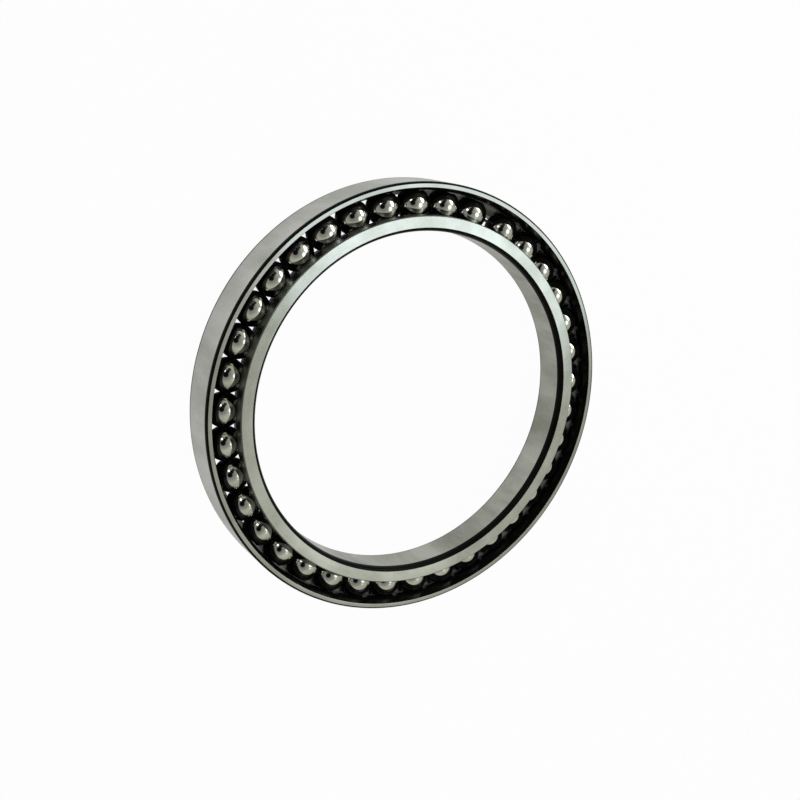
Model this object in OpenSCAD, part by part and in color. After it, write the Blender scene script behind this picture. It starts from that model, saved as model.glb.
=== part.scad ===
/* [Rings] */
// Bore of the inner ring
bore_d = 220; // [160:1:300]
// Outside diameter of the outer ring
outside_d = 280; // [220:1:380]
// Width of the outer ring
outer_width = 32; // [26:0.5:40]
// Width of the inner ring
inner_width = 25; // [22:0.1:34]
// How far the inner ring stands proud of the outer ring in front
inner_proud = 3.6; // [0:0.1:6]
// Radial size of the large rounded corners, on the thrust sides
corner_radial = 2.5; // [1:0.1:3]
// Axial size of the large corners
corner_axial = 4.1; // [1:0.1:5]
// Radial size of the small rounded corners, on the open sides
small_corner_radial = 1.3; // [0.5:0.1:2]
// Axial size of the small corners
small_corner_axial = 1.6; // [0.5:0.1:3]

/* [Balls] */
// Number of balls
ball_count = 37; // [24:1:38]
// Diameter of a ball
ball_d = 19.05; // [16:0.05:19.5]
// Distance of the ball centres behind the front face of the outer ring
ball_depth = 12.8; // [12:0.1:16]
// Contact angle, from the radial plane
contact_angle = 40; // [25:1:45]
// Groove radius over ball diameter
groove_ratio = 0.527; // [0.52:0.001:0.54]
// Play between a ball and each raceway
ball_play = 0.25; // [0.1:0.05:0.4]
// Angle of the first ball beside the cage's joint
first_ball_angle = 68.5; // [0:0.1:360]
// Angle between the two balls beside the cage's joint
joint_gap_angle = 12.2; // [10:0.1:13]

/* [Shoulders] */
// Height of the high shoulders above the raceway bottom
high_shoulder = 4.7; // [3:0.1:6]
// Height of the low shoulders above the raceway bottom
low_shoulder = 0.5; // [0:0.05:1]
// Bevel at the rim of the high shoulders
shoulder_bevel = 0.6; // [0.2:0.1:1.2]
// Radial size of the lead-in tapers at the low shoulders
taper_radial = 2.1; // [1:0.1:3]
// Bevel at the mouth of the outer ring's lead-in taper
mouth_bevel = 1.1; // [0.2:0.1:1.5]
// Axial size of the lead-in taper on the outer ring
outer_taper_axial = 5.9; // [2:0.1:7]
// Axial size of the lead-in taper on the inner ring
inner_taper_axial = 2.6; // [2:0.1:4]

/* [Cage] */
// Gap between a ball and its cup
pocket_play = 0.25; // [0.15:0.05:0.4]
// Thickness of the pressed steel
cage_wall = 1.35; // [0.6:0.05:1.6]
// Height of the front lip above the ball centres
front_lip = 6.4; // [5:0.1:8]
// Rise of the front lip, from inside to outside
lip_rise = 12; // [0:1:15]
// Depth of the back lip below the ball centres
back_lip = 4.5; // [2:0.1:5]
// Clearance from the cage to the low shoulders
cage_clearance = 0.6; // [0.3:0.05:1]
// Further clearance where the cage passes the loaded side of a raceway
groove_clearance = 0.8; // [0.4:0.1:2]
// Height of the neck between two cups
neck_height = 6.4; // [2:0.1:9]
// Thickness of the neck
neck_wall = 1.5; // [0.7:0.1:2]
// Height of the middle of a neck above the ball centres
neck_lift = 1.6; // [-2:0.1:3]

/* [Hidden] */
$fn = 96;
ring_fn = 360;
corner_steps = 6;
steel = [0.67, 0.68, 0.65];
dark_steel = [0.10, 0.10, 0.10];
polished = [0.82, 0.83, 0.82];

bore_r = bore_d / 2;
outside_r = outside_d / 2;
pitch_r = (bore_r + outside_r) / 2;
ball_r = ball_d / 2;
ball_z = outer_width - ball_depth;
inner_front_z = outer_width + inner_proud;
inner_back_z = inner_front_z - inner_width;

groove_r = groove_ratio * ball_d;
groove_shift = groove_r - ball_r - ball_play;
groove_shift_r = groove_shift * cos(contact_angle);
groove_shift_z = groove_shift * sin(contact_angle);
outer_bottom_r = pitch_r - groove_shift_r + groove_r;
inner_bottom_r = pitch_r + groove_shift_r - groove_r;
outer_high_r = outer_bottom_r - high_shoulder;
inner_high_r = inner_bottom_r + high_shoulder;
outer_low_r = outer_bottom_r - low_shoulder;
inner_low_r = inner_bottom_r + low_shoulder;

pocket_r = ball_r + pocket_play;
cup_r = pocket_r + cage_wall;
cage_outer_r = outer_low_r - cage_clearance;
cage_inner_r = inner_low_r + cage_clearance;
cage_outer_back_r = cage_outer_r - groove_clearance;
cage_inner_front_r = cage_inner_r + 2 * groove_clearance;
cage_knee = ball_r / 3;
function lip_z(r) = ball_z + front_lip + (r - pitch_r) * tan(lip_rise);

ball_step = (360 - joint_gap_angle) / (ball_count - 1);
function ball_angle(i) = first_ball_angle + i * ball_step;
joint_angle = first_ball_angle - joint_gap_angle / 2;

// Revolve a section whose points are radius and height
module revolve(points) {
    rotate_extrude($fn = ring_fn) polygon(points);
}

// Points of a rounded corner about its centre, from angle to angle, 0 at the face and 90 at the side
function corner(r, z, reach_r, reach_z, from, to) = [
    for (i = [0 : corner_steps]) let (turn = from + (to - from) * i / corner_steps)
        [r + reach_r * sin(turn), z + reach_z * cos(turn)]
];

// The round groove that the balls run in
module groove(centre_r, centre_z) {
    rotate_extrude($fn = ring_fn) translate([centre_r, centre_z]) circle(r = groove_r);
}

// Outer ring: high shoulder behind the balls, low shoulder and lead-in taper in front
module outer_ring() {
    color(steel) difference() {
        revolve(concat(
            corner(outside_r - corner_radial, corner_axial, corner_radial, -corner_axial, 0, 90),
            corner(outside_r - small_corner_radial, outer_width - small_corner_axial,
                small_corner_radial, small_corner_axial, 90, 0),
            [
                [outer_low_r + taper_radial, outer_width],
                [outer_low_r + taper_radial - mouth_bevel, outer_width - mouth_bevel],
                [outer_low_r, outer_width - outer_taper_axial],
                [outer_low_r, ball_z],
                [outer_high_r, ball_z],
                [outer_high_r, shoulder_bevel],
                [outer_high_r + shoulder_bevel, 0]
            ]
        ));
        groove(pitch_r - groove_shift_r, ball_z + groove_shift_z);
    }
}

// Inner ring: high shoulder in front of the balls, low shoulder and lead-in taper behind
module inner_ring() {
    color(steel) difference() {
        revolve(concat(
            corner(bore_r + corner_radial, inner_front_z - corner_axial, -corner_radial, corner_axial, 0, 90),
            corner(bore_r + small_corner_radial, inner_back_z + small_corner_axial,
                -small_corner_radial, -small_corner_axial, 90, 0),
            [
                [inner_low_r - taper_radial, inner_back_z],
                [inner_low_r, inner_back_z + inner_taper_axial],
                [inner_low_r, ball_z],
                [inner_high_r, ball_z],
                [inner_high_r, inner_front_z - shoulder_bevel],
                [inner_high_r - shoulder_bevel, inner_front_z]
            ]
        ));
        groove(pitch_r + groove_shift_r, ball_z - groove_shift_z);
    }
}

// Put a child at the centre of ball i, x outward, y along the pitch circle
module at_ball(angle) {
    rotate([0, 0, angle]) translate([pitch_r, 0, ball_z]) children();
}

// One ball
module ball(i) {
    color(polished) at_ball(ball_angle(i)) sphere(r = ball_r);
}

// Neck that joins two cups, at the middle of a gap of the given angle
module neck(angle, gap) {
    length = 2 * pitch_r * sin(gap / 2) - 2 * pocket_r;
    at_ball(angle) translate([0, 0, neck_lift])
        cube([neck_wall, length, neck_height], center = true);
}

// Space between the rings that the cage is trimmed to, ending at its two lips
module cage_space() {
    revolve([
        [cage_inner_r, ball_z - back_lip],
        [cage_outer_back_r, ball_z - back_lip],
        [cage_outer_r, ball_z + cage_knee],
        [cage_outer_r, lip_z(cage_outer_r)],
        [cage_inner_front_r, lip_z(cage_inner_front_r)]
    ]);
}

// Cage: a chain of pressed cups, each round one ball, welded into a hoop at its joint
module cage() {
    color(dark_steel) intersection() {
        difference() {
            union() {
                for (i = [0 : ball_count - 1]) at_ball(ball_angle(i)) sphere(r = cup_r);
                for (i = [0 : ball_count - 2]) neck(ball_angle(i) + ball_step / 2, ball_step);
                neck(joint_angle, joint_gap_angle);
            }
            for (i = [0 : ball_count - 1]) at_ball(ball_angle(i)) sphere(r = pocket_r);
        }
        cage_space();
    }
}

outer_ring();
inner_ring();
cage();
for (i = [0 : ball_count - 1]) {
    ball(i);
}
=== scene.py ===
import bmesh
import bpy
from math import atan2, cos, hypot, pi, radians, sin, sqrt, tan
from mathutils import Matrix, Vector


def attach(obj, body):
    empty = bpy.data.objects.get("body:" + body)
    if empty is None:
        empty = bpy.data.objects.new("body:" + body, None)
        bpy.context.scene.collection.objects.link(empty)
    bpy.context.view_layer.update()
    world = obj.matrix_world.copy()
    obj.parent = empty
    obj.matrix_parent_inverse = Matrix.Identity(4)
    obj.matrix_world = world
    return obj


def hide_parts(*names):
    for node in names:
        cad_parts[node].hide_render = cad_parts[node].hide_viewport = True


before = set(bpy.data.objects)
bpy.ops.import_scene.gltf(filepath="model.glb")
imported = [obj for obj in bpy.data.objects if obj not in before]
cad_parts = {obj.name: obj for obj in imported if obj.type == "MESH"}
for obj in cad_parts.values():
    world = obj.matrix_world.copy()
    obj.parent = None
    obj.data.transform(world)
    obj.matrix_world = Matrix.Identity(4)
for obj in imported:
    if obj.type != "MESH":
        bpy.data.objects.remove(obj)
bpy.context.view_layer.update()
mm = 0.001
noiseSpan = (0.30, 0.70)       # most values of a noise lie in here
stainSpan = (0.38, 0.62)       # narrower, so that stains show in the colour
print("frame loaded:", len(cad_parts), "CAD nodes")


# sizes shared by the pieces, in millimetres as all sizes below
bearing = {
    "pitchRadius": 125.0,      # circle of the ball centres
    "ballHeight": 19.2,        # ball centres above the floor
    "ballCount": 37,
    "firstBall": 68.5,         # degrees, the ball beside the cage's joint
    "jointGap": 12.2,          # degrees between the two balls beside the joint
}
bearing["step"] = (360 - bearing["jointGap"]) / (bearing["ballCount"] - 1)


def addNode(tree, kind, at, **values):
    node = tree.nodes.new(kind)
    node.location = at
    for key, value in values.items():
        if hasattr(node, key):
            setattr(node, key, value)
        else:
            node.inputs[key].default_value = value
    return node


def scaled(tree, source, factor, at):
    product = addNode(tree, "ShaderNodeMath", at, operation="MULTIPLY")
    product.inputs[1].default_value = factor
    tree.links.new(source, product.inputs[0])
    return product.outputs[0]


def startMaterial(name):
    material = bpy.data.materials.new(name)
    material.use_nodes = True
    tree = material.node_tree
    surface = tree.nodes["Principled BSDF"]
    surface.location = (300, 0)
    return material, tree, surface


# turned and ground marks run round the axis: direction changes slowly, radius plus height fast
def aroundAxis(tree, fine, slow):
    place = addNode(tree, "ShaderNodeTexCoord", (-1700, 0))
    split = addNode(tree, "ShaderNodeSeparateXYZ", (-1500, 0))
    tree.links.new(place.outputs["Object"], split.inputs[0])
    flat = addNode(tree, "ShaderNodeCombineXYZ", (-1320, 140))
    tree.links.new(split.outputs["X"], flat.inputs["X"])
    tree.links.new(split.outputs["Y"], flat.inputs["Y"])
    length = addNode(tree, "ShaderNodeVectorMath", (-1140, -40), operation="LENGTH")
    tree.links.new(flat.outputs[0], length.inputs[0])
    direction = addNode(tree, "ShaderNodeVectorMath", (-1140, 140), operation="NORMALIZE")
    tree.links.new(flat.outputs[0], direction.inputs[0])
    stretch = addNode(tree, "ShaderNodeVectorMath", (-960, 140), operation="SCALE")
    stretch.inputs["Scale"].default_value = slow
    tree.links.new(direction.outputs[0], stretch.inputs[0])
    across = addNode(tree, "ShaderNodeMath", (-960, -60), operation="ADD")
    tree.links.new(length.outputs["Value"], across.inputs[0])
    tree.links.new(split.outputs["Z"], across.inputs[1])
    lift = addNode(tree, "ShaderNodeCombineXYZ", (-600, -60))
    tree.links.new(scaled(tree, across.outputs[0], fine, (-780, -60)), lift.inputs["Z"])
    total = addNode(tree, "ShaderNodeVectorMath", (-420, 60), operation="ADD")
    tree.links.new(stretch.outputs[0], total.inputs[0])
    tree.links.new(lift.outputs[0], total.inputs[1])
    return place, total.outputs[0]


def spread(tree, source, low, high, at):
    fit = addNode(tree, "ShaderNodeMapRange", at)
    fit.inputs["From Min"].default_value, fit.inputs["From Max"].default_value = noiseSpan
    fit.inputs["To Min"].default_value = low
    fit.inputs["To Max"].default_value = high
    tree.links.new(source, fit.inputs["Value"])
    return fit.outputs["Result"]


def tint(tree, source, dark, light, at):
    ramp = addNode(tree, "ShaderNodeValToRGB", at)
    for stop, position, colour in zip(ramp.color_ramp.elements, stainSpan, (dark, light)):
        stop.position = position
        stop.color = (*colour, 1)
    tree.links.new(source, ramp.inputs["Fac"])
    return ramp.outputs["Color"]


# steel cut or ground on a machine: rings round the axis, soft stains drawn out along it, fine bump
def machinedSteel(name, dark, light, rough, fine, slow, depth, metallic, specular):
    material, tree, surface = startMaterial(name)
    place, turned = aroundAxis(tree, fine, slow)
    grain = addNode(tree, "ShaderNodeTexNoise", (-220, 60), Scale=1.0, Detail=3.0, Roughness=0.6)
    tree.links.new(turned, grain.inputs["Vector"])
    along = addNode(tree, "ShaderNodeMapping", (-420, 360), Scale=(1.0, 1.0, 0.3))
    tree.links.new(place.outputs["Object"], along.inputs["Vector"])
    stain = addNode(tree, "ShaderNodeTexNoise", (-220, 360), Scale=34.0, Detail=5.0, Roughness=0.6)
    tree.links.new(along.outputs["Vector"], stain.inputs["Vector"])
    tree.links.new(tint(tree, stain.outputs["Fac"], dark, light, (0, 360)), surface.inputs["Base Color"])
    tree.links.new(spread(tree, grain.outputs["Fac"], *rough, (0, -60)), surface.inputs["Roughness"])
    bump = addNode(tree, "ShaderNodeBump", (0, -320), Strength=0.5, Distance=depth * mm)
    tree.links.new(grain.outputs["Fac"], bump.inputs["Height"])
    tree.links.new(bump.outputs["Normal"], surface.inputs["Normal"])
    surface.inputs["Metallic"].default_value = metallic
    surface.inputs["Specular IOR Level"].default_value = specular
    return material


# darkest and lightest colour, least and most roughness, marks per metre, changes round the axis,
# depth of the marks, metallic, specular
steels = {
    "groundFace": ((0.50, 0.515, 0.465), (0.67, 0.69, 0.64), (0.14, 0.22), 2600, 3.0, 0.008, 1.0, 0.5),
    "groundRim": ((0.43, 0.44, 0.40), (0.55, 0.56, 0.515), (0.15, 0.21), 2600, 3.0, 0.008, 1.0, 0.5),
    "groundSide": ((0.48, 0.495, 0.44), (0.70, 0.705, 0.665), (0.22, 0.32), 3200, 2.0, 0.012, 1.0, 0.5),
    "honedBore": ((0.35, 0.355, 0.30), (0.60, 0.605, 0.545), (0.22, 0.32), 3200, 2.0, 0.012, 1.0, 0.5),
    "turnedCorner": ((0.005, 0.006, 0.004), (0.011, 0.012, 0.01), (0.20, 0.32), 2400, 6.0, 0.03, 0.0, 0.05),
    "hardenedLand": ((0.004, 0.004, 0.004), (0.01, 0.01, 0.009), (0.14, 0.26), 2400, 6.0, 0.02, 0.0, 0.16),
    "shoulder": ((0.16, 0.165, 0.15), (0.26, 0.27, 0.25), (0.30, 0.42), 2600, 4.0, 0.02, 1.0, 0.5),
    # the raceway's colour is kept far darker than the other ground steel: painted shade of the groove that
    # lies deep between the rings and the cage
    "raceway": ((0.10, 0.105, 0.095), (0.17, 0.175, 0.16), (0.18, 0.28), 4200, 2.0, 0.004, 1.0, 0.5),
}
finishes = {name: machinedSteel(name, *values) for name, values in steels.items()}
print("steel finishes made")


def addObject(name, data):
    made = bpy.data.objects.new(name, data)
    bpy.context.scene.collection.objects.link(made)
    return made


def makeMesh(name, shape):
    mesh = bpy.data.meshes.new(name)
    shape.to_mesh(mesh)
    shape.free()
    return mesh


def roundOff(shape, edges, reach):
    bmesh.ops.bevel(shape, geom=edges, offset=reach * mm, segments=2, profile=0.5,
                    affect="EDGES", material=-1, clamp_overlap=True)


# a finished shape becomes a smooth piece of the scene
def addPiece(name, shape, materials):
    for face in shape.faces:
        face.smooth = True
    mesh = makeMesh(name, shape)
    for material in materials:
        mesh.materials.append(material)
    piece = addObject(name, mesh)
    piece.modifiers.new("evenNormals", "WEIGHTED_NORMAL").keep_sharp = False
    return piece


rings = {
    "bore": 110.0, "outside": 140.0,                        # radii
    "outerFront": 32.0,                                     # its back face lies on the floor
    "innerBack": 10.6, "innerFront": 35.6,
    "largeCorner": (2.5, 4.1), "smallCorner": (1.3, 1.6),   # radial, axial
    "cornerSteps": 8,
    "blackened": 2.5,                                       # black of the front corner, down the outside
    "grooveRadius": 10.039,
    "grooveShift": (0.2026, 0.1700),                        # groove centre from the ball centre
    "outerBottom": 134.837, "innerBottom": 115.163,         # radii of the grooves' bottoms
    "highShoulder": 4.7, "lowShoulder": 0.5, "shoulderBevel": 0.6,
    "taper": 2.1, "mouthBevel": 0.25, "outerTaper": 5.9, "innerTaper": 1.8,
    "grooveSteps": 22,
    "turns": 360,
    "sharpAngle": 14, "rounding": 0.16,                     # degrees from which an edge is rounded
    "flat": 0.998, "faceDepth": 0.1,                        # what counts as the front or back face
    "grooveMargin": 0.35,                                   # what counts as the groove, beyond its radius
}


# points along the groove from one of its points to another, the short way round
def groovePoints(centreR, centreZ, start, end):
    steps, reach = rings["grooveSteps"], rings["grooveRadius"]
    first = atan2(start[1] - centreZ, start[0] - centreR)
    last = atan2(end[1] - centreZ, end[0] - centreR)
    while last - first > pi:
        last -= 2 * pi
    while first - last > pi:
        last += 2 * pi
    turns = [first + (last - first) * i / steps for i in range(steps + 1)]
    return [(centreR + reach * cos(turn), centreZ + reach * sin(turn)) for turn in turns]


# the point of the groove at a radius, above or below its centre
def groovePoint(radius, centreR, centreZ, side):
    return radius, centreZ + side * sqrt(rings["grooveRadius"] ** 2 - (radius - centreR) ** 2)


# points of a rounded corner, from the face to the side, whose centre lies at radius r and height z
def roundCorner(r, z, reachR, reachZ):
    steps = rings["cornerSteps"]
    turns = [pi / 2 * i / steps for i in range(steps + 1)]
    return [(r + reachR * sin(turn), z + reachZ * cos(turn)) for turn in turns]


def outerSection():
    low = rings["outerBottom"] - rings["lowShoulder"]
    high = rings["outerBottom"] - rings["highShoulder"]
    centreR = bearing["pitchRadius"] - rings["grooveShift"][0]
    centreZ = bearing["ballHeight"] + rings["grooveShift"][1]
    front, outside, bevel = rings["outerFront"], rings["outside"], rings["mouthBevel"]
    (backR, backZ), (frontR, frontZ) = rings["largeCorner"], rings["smallCorner"]
    mouth = low + rings["taper"]
    groove = groovePoints(centreR, centreZ, groovePoint(low, centreR, centreZ, 1),
                          groovePoint(high, centreR, centreZ, -1))
    backCorner = roundCorner(outside - backR, backZ, backR, -backZ)
    frontCorner = roundCorner(outside - frontR, front - frontZ, frontR, frontZ)
    return ([(high + rings["shoulderBevel"], 0)] + backCorner
            + [(outside, front - rings["blackened"])] + frontCorner[::-1]
            + [(mouth, front), (mouth - bevel, front - bevel), (low, front - rings["outerTaper"])]
            + groove + [(high, rings["shoulderBevel"])])


def innerSection():
    low = rings["innerBottom"] + rings["lowShoulder"]
    high = rings["innerBottom"] + rings["highShoulder"]
    centreR = bearing["pitchRadius"] + rings["grooveShift"][0]
    centreZ = bearing["ballHeight"] - rings["grooveShift"][1]
    front, back, bore = rings["innerFront"], rings["innerBack"], rings["bore"]
    (frontR, frontZ), (backR, backZ) = rings["largeCorner"], rings["smallCorner"]
    groove = groovePoints(centreR, centreZ, groovePoint(low, centreR, centreZ, -1),
                          groovePoint(high, centreR, centreZ, 1))
    backCorner = roundCorner(bore + backR, back + backZ, -backR, -backZ)
    frontCorner = roundCorner(bore + frontR, front - frontZ, -frontR, frontZ)
    return ([(low - rings["taper"], back), (low, back + rings["innerTaper"])] + groove
            + [(high, front - rings["shoulderBevel"]), (high - rings["shoulderBevel"], front)]
            + frontCorner + backCorner[::-1])


# whether a piece of surface belongs to the flat front or back face of a ring
def onFace(flatness, above, below):
    return flatness > rings["flat"] and (above < rings["faceDepth"] or below < rings["faceDepth"])


def inside(radius, height):
    fromBall = hypot(radius - bearing["pitchRadius"], height - bearing["ballHeight"])
    return "raceway" if fromBall < rings["grooveRadius"] + rings["grooveMargin"] else "hardenedLand"


# the finish of a piece of surface, from its radius, its height and how flat it lies
def outerFinish(radius, height, flatness):
    below = rings["outerFront"] - height
    if onFace(flatness, height, below):
        return "groundRim"
    if radius > rings["outerBottom"] + rings["taper"]:
        corner = height < rings["largeCorner"][1] or below < rings["blackened"]
        return "turnedCorner" if corner else "groundSide"
    return inside(radius, height)


def innerFinish(radius, height, flatness):
    above, below = height - rings["innerBack"], rings["innerFront"] - height
    if onFace(flatness, above, below):
        return "groundFace"
    if radius < rings["bore"] + rings["largeCorner"][0]:
        corner = above < rings["smallCorner"][1] or below < rings["largeCorner"][1]
        return "turnedCorner" if corner else "honedBore"
    rim = rings["innerBottom"] + rings["highShoulder"] - rings["shoulderBevel"]
    if radius > rim and height > bearing["ballHeight"]:
        return "shoulder"
    return inside(radius, height)


def turnRing(name, section, finishOf):
    slots = list(finishes)
    shape = bmesh.new()
    corners = [shape.verts.new((r * mm, 0, z * mm)) for r, z in section]
    outline = [shape.edges.new((corners[i - 1], corners[i])) for i in range(len(corners))]
    bmesh.ops.spin(shape, geom=corners + outline, cent=(0, 0, 0), axis=(0, 0, 1), angle=2 * pi,
                   steps=rings["turns"], use_merge=True)
    bmesh.ops.recalc_face_normals(shape, faces=shape.faces[:])
    for face in shape.faces:
        middle = face.calc_center_median() / mm
        finish = finishOf(hypot(middle.x, middle.y), middle.z, abs(face.normal.z))
        face.material_index = slots.index(finish)
    sharp = [edge for edge in shape.edges if edge.calc_face_angle(0) > radians(rings["sharpAngle"])]
    roundOff(shape, sharp, rings["rounding"])
    return addPiece(name, shape, finishes.values())


outerRing = turnRing("outerRingTurned", outerSection(), outerFinish)
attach(outerRing, "outer_ring")
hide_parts("outer_ring")
innerRing = turnRing("innerRingTurned", innerSection(), innerFinish)
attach(innerRing, "inner_ring")
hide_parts("inner_ring")
print("rings turned:", len(outerRing.data.polygons), len(innerRing.data.polygons), "faces")


cage = {
    "pocketRadius": 9.775, "wall": 1.05,
    "frontLip": 6.4, "lipRise": 12,       # height above the ball centre, degrees up from inside to outside
    "lipFall": (3.0, 17),                 # half length of its level middle, degrees down to the necks
    "backLip": 4.5,                       # depth below the ball centre
    "outerCut": (7.94, 8.74, 3.2),        # at the back lip, in front, height where it turns upright
    "innerCut": (-8.74, -7.14),           # at the back lip, at the front lip
    "neckHeight": 6.4, "neckWall": 1.0, "neckLift": 1.6,
    "rimAngle": 40, "rounding": 0.14,     # degrees from which an edge is rounded
    "segments": (56, 34),
}


# one noise over the whole piece gives both its colour and its roughness
def evenSteel(name, scale, detail, noise, dark, light, rough):
    material, tree, surface = startMaterial(name)
    place = addNode(tree, "ShaderNodeTexCoord", (-900, 0))
    film = addNode(tree, "ShaderNodeTexNoise", (-600, 200), Scale=scale, Detail=detail, Roughness=noise)
    tree.links.new(place.outputs["Object"], film.inputs["Vector"])
    tree.links.new(tint(tree, film.outputs["Fac"], dark, light, (-300, 200)), surface.inputs["Base Color"])
    tree.links.new(spread(tree, film.outputs["Fac"], *rough, (-300, -60)), surface.inputs["Roughness"])
    return material, tree, surface, place


def pressedSteel():
    dark, light = (0.004, 0.004, 0.004), (0.010, 0.010, 0.010)
    material, tree, surface, place = evenSteel("pressedSteel", 260.0, 5.0, 0.6, dark, light, (0.30, 0.46))
    skin = addNode(tree, "ShaderNodeTexNoise", (-600, -320), Scale=1500.0, Detail=3.0)
    tree.links.new(place.outputs["Object"], skin.inputs["Vector"])
    bump = addNode(tree, "ShaderNodeBump", (-300, -320), Strength=0.4, Distance=0.02 * mm)
    tree.links.new(skin.outputs["Fac"], bump.inputs["Height"])
    tree.links.new(bump.outputs["Normal"], surface.inputs["Normal"])
    surface.inputs["Specular IOR Level"].default_value = 0.08
    return material


# cuts off what lies beyond a plane
def cutAway(shape, point, normal):
    everything = shape.verts[:] + shape.edges[:] + shape.faces[:]
    bmesh.ops.bisect_plane(shape, geom=everything, dist=1e-7, plane_co=Vector(point) * mm,
                           plane_no=Vector(normal).normalized(), clear_outer=True)


# one cup round a ball at the origin, x outward, opened by its lips and where the raceways pass
def pressCup(shape):
    across, down = cage["segments"]
    outside = (cage["pocketRadius"] + cage["wall"]) * mm
    bmesh.ops.create_uvsphere(shape, u_segments=across, v_segments=down, radius=outside)
    rise = radians(cage["lipRise"])
    level, fall = cage["lipFall"]
    cutAway(shape, (0, 0, cage["frontLip"]), (-sin(rise), 0, cos(rise)))
    for side in (-1, 1):
        cutAway(shape, (0, side * level, cage["frontLip"]), (-tan(rise), side * tan(radians(fall)), 1))
    cutAway(shape, (0, 0, -cage["backLip"]), (0, 0, -1))
    backX, frontX, knee = cage["outerCut"]
    cutAway(shape, (frontX, 0, 0), (1, 0, 0))
    cutAway(shape, (frontX, 0, knee), (knee + cage["backLip"], 0, backX - frontX))
    backX, frontX = cage["innerCut"]
    frontZ = cage["frontLip"] + frontX * tan(rise)
    cutAway(shape, (frontX, 0, frontZ), (-(frontZ + cage["backLip"]), 0, frontX - backX))
    bmesh.ops.solidify(shape, geom=shape.faces[:], thickness=cage["wall"] * mm)


def toBallCircle(shape, degrees):
    ballCentre = Vector((bearing["pitchRadius"], 0, bearing["ballHeight"])) * mm
    bmesh.ops.translate(shape, verts=shape.verts[:], vec=ballCentre)
    turn = Matrix.Rotation(radians(degrees), 3, "Z")
    bmesh.ops.rotate(shape, verts=shape.verts[:], cent=(0, 0, 0), matrix=turn)


def repeatRound(shape, times):
    everything = shape.verts[:] + shape.edges[:] + shape.faces[:]
    bmesh.ops.spin(shape, geom=everything, cent=(0, 0, 0), axis=(0, 0, 1),
                   angle=radians(bearing["step"]) * times, steps=times, use_duplicate=True)


# a neck in the middle between two cups, whose balls stand gap degrees apart
def addNeck(shape, degrees, gap):
    length = 2 * bearing["pitchRadius"] * sin(radians(gap / 2)) - 2 * cage["pocketRadius"]
    made = bmesh.ops.create_cube(shape, size=1)["verts"]
    bmesh.ops.scale(shape, verts=made, vec=Vector((cage["neckWall"], length, cage["neckHeight"])) * mm)
    bmesh.ops.translate(shape, verts=made, vec=(0, 0, cage["neckLift"] * mm))
    roundOff(shape, shape.edges[:], cage["rounding"])
    toBallCircle(shape, degrees)


# moves the finished shape over into the mesh of the whole cage
def keep(shape, whole):
    part = makeMesh("part", shape)
    whole.from_mesh(part)
    bpy.data.meshes.remove(part)


def makeCage():
    whole = bmesh.new()
    cups = bmesh.new()
    pressCup(cups)
    rims = [edge for edge in cups.edges if edge.calc_face_angle(0) > radians(cage["rimAngle"])]
    roundOff(cups, rims, cage["rounding"])
    toBallCircle(cups, bearing["firstBall"])
    repeatRound(cups, bearing["ballCount"] - 1)
    keep(cups, whole)
    necks = bmesh.new()
    addNeck(necks, bearing["firstBall"] + bearing["step"] / 2, bearing["step"])
    repeatRound(necks, bearing["ballCount"] - 2)
    keep(necks, whole)
    joint = bmesh.new()
    addNeck(joint, bearing["firstBall"] - bearing["jointGap"] / 2, bearing["jointGap"])
    keep(joint, whole)
    bmesh.ops.recalc_face_normals(whole, faces=whole.faces[:])
    return addPiece("cageChain", whole, [pressedSteel()])


cageChain = makeCage()
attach(cageChain, "cage")
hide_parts("cage")
print("cage pressed:", len(cageChain.data.polygons), "faces")


# the balls are the CAD's own, only their steel is new
def polishedBall():
    dark, light = (0.69, 0.695, 0.615), (0.84, 0.845, 0.765)
    material, tree, surface, place = evenSteel("polishedBall", 160.0, 3.0, 0.5, dark, light, (0.035, 0.075))
    surface.inputs["Metallic"].default_value = 1.0
    return material


ballSteel = polishedBall()
for name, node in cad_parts.items():
    if name.startswith("ball_"):
        for slot in node.material_slots:
            slot.material = ballSteel
print("balls polished")


studio = {
    "floorSize": 6.0, "floorDrop": 0.02,     # metres, and millimetres below the bearing
    "paper": 0.9,                            # brightness and roughness of the floor
    "floorGlow": 0.975,                      # share of plain white for the camera, the rest takes shadow
    "floorInMetal": 0.42,                    # the same share where metal mirrors the floor
    # azimuth, tilt from upright, distance, width, height, roll, watts, colour
    "lamps": {
        "topBox": (2, 31, 1.3, 0.70, 0.70, 0, 1.3, (0.80, 0.91, 1.0)),
        "sideBox": (36, 62, 1.3, 0.95, 0.55, -32, 3.6, (0.92, 0.97, 1.0)),
        "smallBox": (129, 60, 1.3, 0.30, 0.30, 0, 0.6, (1.0, 1.0, 0.96)),
        "lowBox": (-48, 33.5, 1.3, 0.30, 0.30, 0, 0.092, (0.92, 1.0, 0.98)),
    },
    # light of the room at the horizon and overhead, and how far up a direction points where overhead starts
    "worldLow": (0.34, 0.34, 0.30), "worldHigh": (0.50, 0.50, 0.44), "worldTop": 0.8,
    # dark things in the room: azimuth, tilt, half angle of the core and of the edge, brightness
    "shades": [
        (148.3, 33.2, 14, 66, 0.22),
        (148.3, 33.2, 15, 23, 0.004),
        (106.0, 41.0, 9, 17, 0.006),
        (84.0, 52.0, 7, 15, 0.02),
    ],
}


def towards(azimuth, tilt):
    azimuth, tilt = radians(azimuth), radians(tilt)
    return Vector((sin(tilt) * cos(azimuth), sin(tilt) * sin(azimuth), cos(tilt)))


def mixShaders(tree, share, first, second, output):
    mix = addNode(tree, "ShaderNodeMixShader", (600, 100))
    tree.links.new(share, mix.inputs["Fac"])
    tree.links.new(first.outputs[0], mix.inputs[1])
    tree.links.new(second.outputs[0], mix.inputs[2])
    tree.links.new(mix.outputs[0], output.inputs["Surface"])


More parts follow.
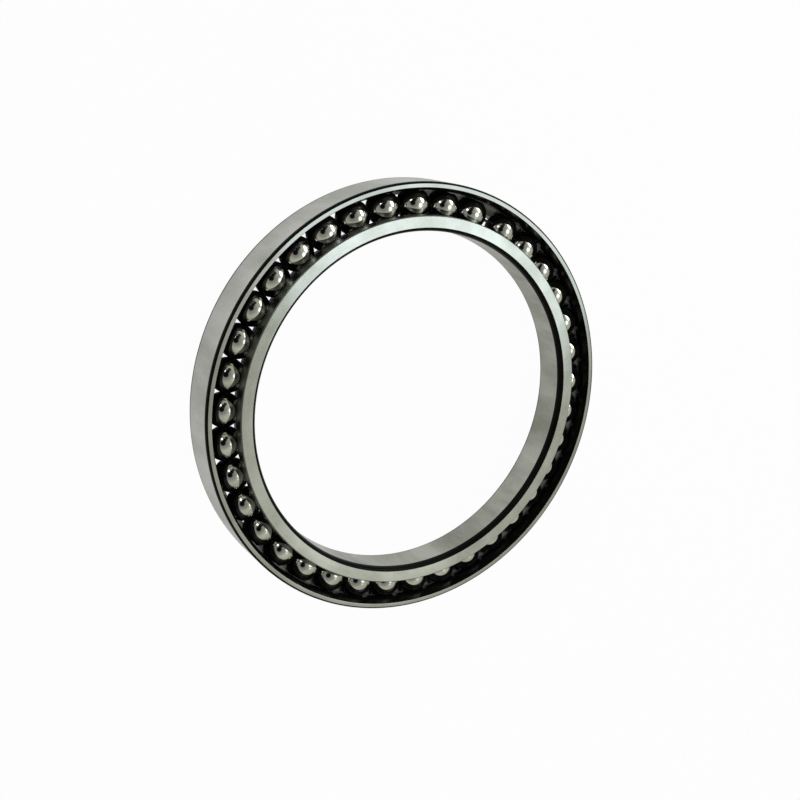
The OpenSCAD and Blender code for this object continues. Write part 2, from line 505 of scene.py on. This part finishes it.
# white for the camera and in part for mirrors, and a plain sheet of paper for all other light
def paper():
    material, tree, surface = startMaterial("studioPaper")
    surface.inputs["Base Color"].default_value = (studio["paper"], studio["paper"], studio["paper"], 1)
    surface.inputs["Roughness"].default_value = studio["paper"]
    surface.inputs["Specular IOR Level"].default_value = 0.0
    path = addNode(tree, "ShaderNodeLightPath", (-300, 300))
    share = addNode(tree, "ShaderNodeMath", (160, 300), operation="MAXIMUM")
    seen = scaled(tree, path.outputs["Is Camera Ray"], studio["floorGlow"], (-60, 300))
    tree.links.new(seen, share.inputs[0])
    mirrored = scaled(tree, path.outputs["Is Glossy Ray"], studio["floorInMetal"], (-60, 100))
    tree.links.new(mirrored, share.inputs[1])
    glow = addNode(tree, "ShaderNodeEmission", (300, 150), Color=(1, 1, 1, 1))
    mixShaders(tree, share.outputs[0], surface, glow, tree.nodes["Material Output"])
    return material


def whiteFloor():
    shape = bmesh.new()
    bmesh.ops.create_grid(shape, x_segments=1, y_segments=1, size=studio["floorSize"] / 2)
    bmesh.ops.translate(shape, verts=shape.verts[:], vec=(0, 0, -studio["floorDrop"] * mm))
    mesh = makeMesh("studioFloor", shape)
    mesh.materials.append(paper())
    floor = addObject("studioFloor", mesh)


def aimLamp(name, azimuth, tilt, distance, width, height, roll, watts, colour):
    lamp = bpy.data.lights.new(name, "AREA")
    lamp.shape = "ELLIPSE"
    lamp.size, lamp.size_y = width, height
    lamp.energy = watts
    lamp.color = colour
    spot = towards(azimuth, tilt)
    turned = spot.to_track_quat("Z", "Y").to_matrix().to_4x4() @ Matrix.Rotation(radians(roll), 4, "Z")
    addObject(name, lamp).matrix_world = Matrix.Translation(spot * distance) @ turned


def studioWorld():
    world = bpy.data.worlds.new("studio")
    bpy.context.scene.world = world
    world.use_nodes = True
    tree = world.node_tree
    room = tree.nodes["Background"]
    place = addNode(tree, "ShaderNodeTexCoord", (-900, 0))
    split = addNode(tree, "ShaderNodeSeparateXYZ", (-700, 0))
    tree.links.new(place.outputs["Generated"], split.inputs[0])
    ramp = addNode(tree, "ShaderNodeValToRGB", (-500, 0))
    ramp.color_ramp.elements[0].color = (*studio["worldLow"], 1)
    ramp.color_ramp.elements[1].color = (*studio["worldHigh"], 1)
    ramp.color_ramp.elements[1].position = studio["worldTop"]
    tree.links.new(split.outputs["Z"], ramp.inputs["Fac"])
    colour = ramp.outputs["Color"]
    for number, (azimuth, tilt, inner, outer, level) in enumerate(studio["shades"]):
        row = -260 - 220 * number
        facing = addNode(tree, "ShaderNodeVectorMath", (-700, row), operation="DOT_PRODUCT")
        facing.inputs[1].default_value = towards(azimuth, tilt)
        tree.links.new(place.outputs["Generated"], facing.inputs[0])
        edge = addNode(tree, "ShaderNodeMapRange", (-500, row), interpolation_type="SMOOTHSTEP")
        edge.inputs["From Min"].default_value = cos(radians(outer))
        edge.inputs["From Max"].default_value = cos(radians(inner))
        tree.links.new(facing.outputs["Value"], edge.inputs["Value"])
        dim = addNode(tree, "ShaderNodeMix", (-220, row), data_type="RGBA")
        dim.inputs["B"].default_value = (level, level, level, 1)
        tree.links.new(edge.outputs["Result"], dim.inputs["Factor"])
        tree.links.new(colour, dim.inputs["A"])
        colour = dim.outputs["Result"]
    tree.links.new(colour, room.inputs["Color"])
    room.inputs["Strength"].default_value = 1.0
    white = addNode(tree, "ShaderNodeBackground", (0, -200), Color=(1, 1, 1, 1))
    path = addNode(tree, "ShaderNodeLightPath", (0, 300))
    mixShaders(tree, path.outputs["Is Camera Ray"], room, white, tree.nodes["World Output"])


view = {
    # from the middle of the outer ring's front face
    "tilt": 33.17, "azimuth": 148.34, "distance": 756.0,
    # in pixels of the photograph's frame
    "focal": 1185.8, "shift": (-16.25, 3.80), "frame": 800,
    "sensor": 36, "nearest": 0.01,           # millimetres, metres
}


def placeCamera():
    away = towards(view["azimuth"], view["tilt"]) * view["distance"] * mm
    forward = -away.normalized()
    right = forward.cross(Vector((0, 1, 0))).normalized()
    turn = Matrix((right, right.cross(forward), -forward)).transposed().to_4x4()
    turn.translation = away + Vector((0, 0, rings["outerFront"] * mm))
    lens = bpy.data.cameras.new("photoCamera")
    camera = addObject("photoCamera", lens)
    camera.matrix_world = turn
    lens.sensor_width = view["sensor"]
    lens.lens = view["focal"] / view["frame"] * lens.sensor_width
    lens.shift_x = view["shift"][0] / view["frame"]
    lens.shift_y = view["shift"][1] / view["frame"]
    lens.clip_start = view["nearest"]
    bpy.context.scene.camera = camera


whiteFloor()
for name, setting in studio["lamps"].items():
    aimLamp(name, *setting)
studioWorld()
placeCamera()
bpy.context.scene.view_settings.view_transform = "Standard"
print("floor, light and camera set")
